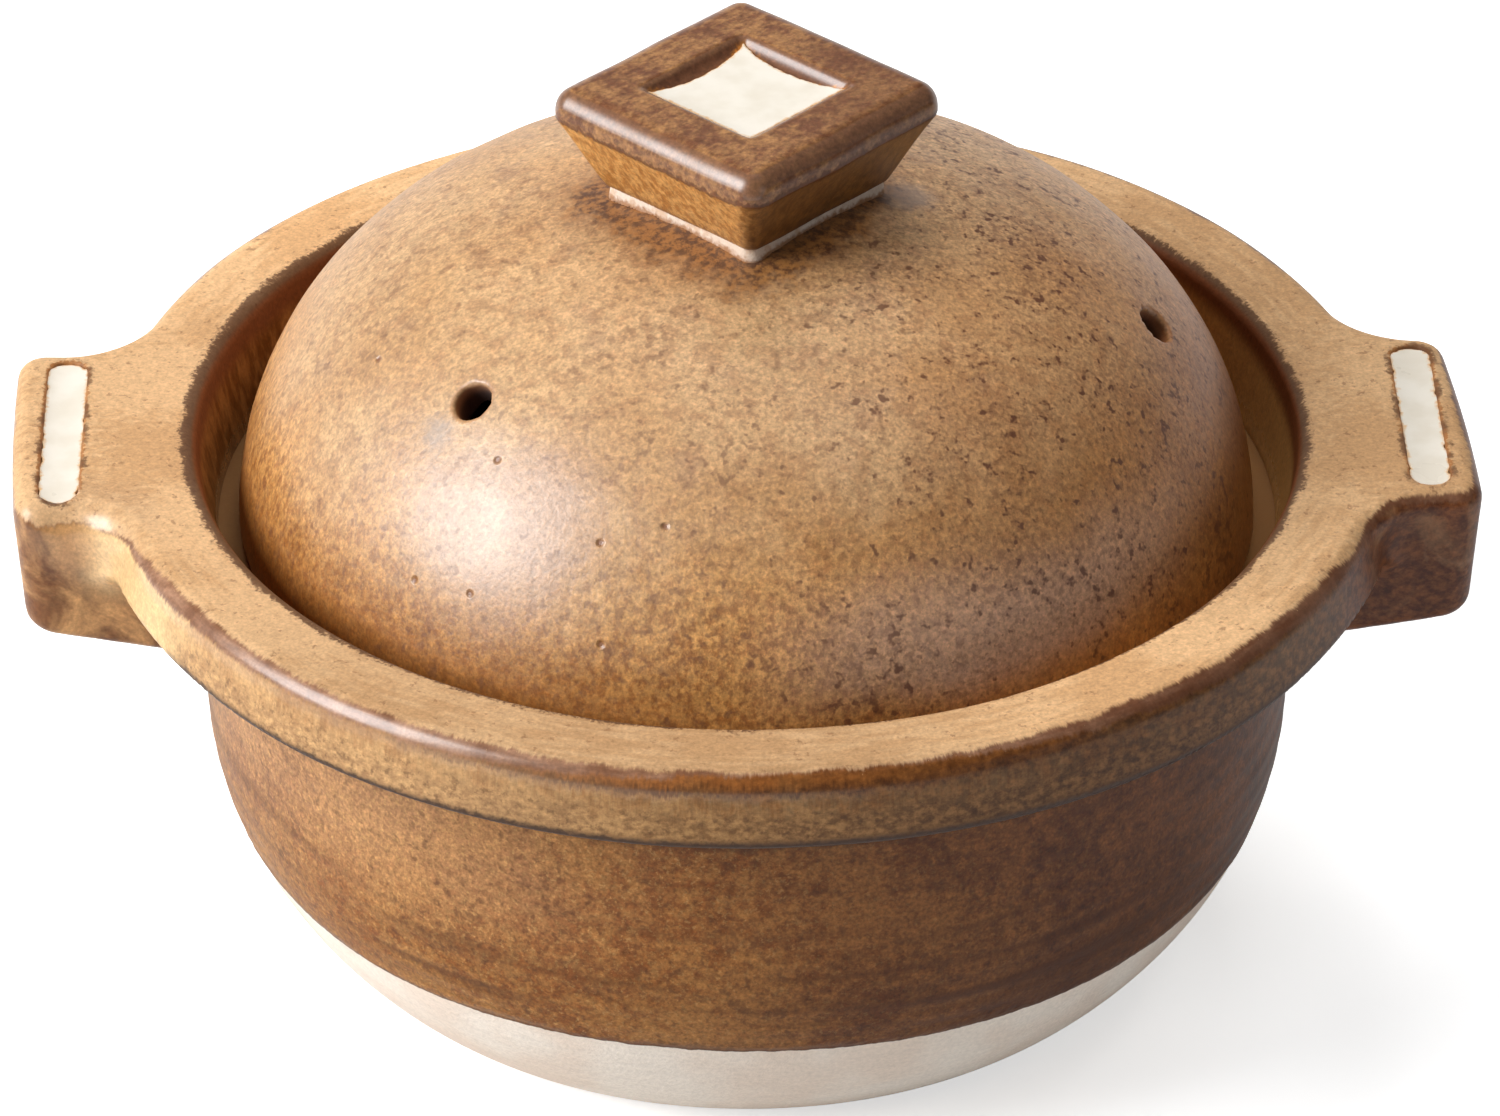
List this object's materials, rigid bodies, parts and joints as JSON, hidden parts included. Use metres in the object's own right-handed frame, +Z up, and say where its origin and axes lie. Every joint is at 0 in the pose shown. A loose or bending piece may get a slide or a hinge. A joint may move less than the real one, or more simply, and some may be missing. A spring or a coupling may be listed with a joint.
{
  "type": "clay cooking pot",
  "caption": "Round stoneware pot with a flat brim, a lug handle on each side and a vented domed lid with a square knob; the lid lifts off.",
  "frame": {"origin": "on the table under the middle of the foot, which is the middle of the bounding box's underside", "axes": "+Z up out of the pot, +X from the left lug to the right lug, -Y towards the viewer of the picture"},
  "size_m": [0.307, 0.2696, 0.196],
  "materials": {
    "brown_glaze": "satin brown stoneware glaze with dark specks",
    "sand_glaze": "matte sand glaze that breaks dark at the edges",
    "amber_glaze": "satin amber glaze with dark specks",
    "bare_clay": "unglazed pale stoneware",
    "white_glaze": "glossy off-white glaze"
  },
  "bodies": {
    "pot": {"bowl": "brown_glaze", "brim": "sand_glaze", "left_lug": "sand_glaze", "right_lug": "sand_glaze", "left_lug_inlay": "white_glaze", "right_lug_inlay": "white_glaze"},
    "lid": {"lid_dome": "amber_glaze", "knob_foot": "bare_clay", "knob": "amber_glaze", "knob_inlay": "white_glaze"}
  },
  "joints": [
    {"name": "lid_lift", "type": "slide", "parent": "pot", "child": "lid", "axis": [0, 0, 1], "range_m": [0, 0.1]}
  ]
}
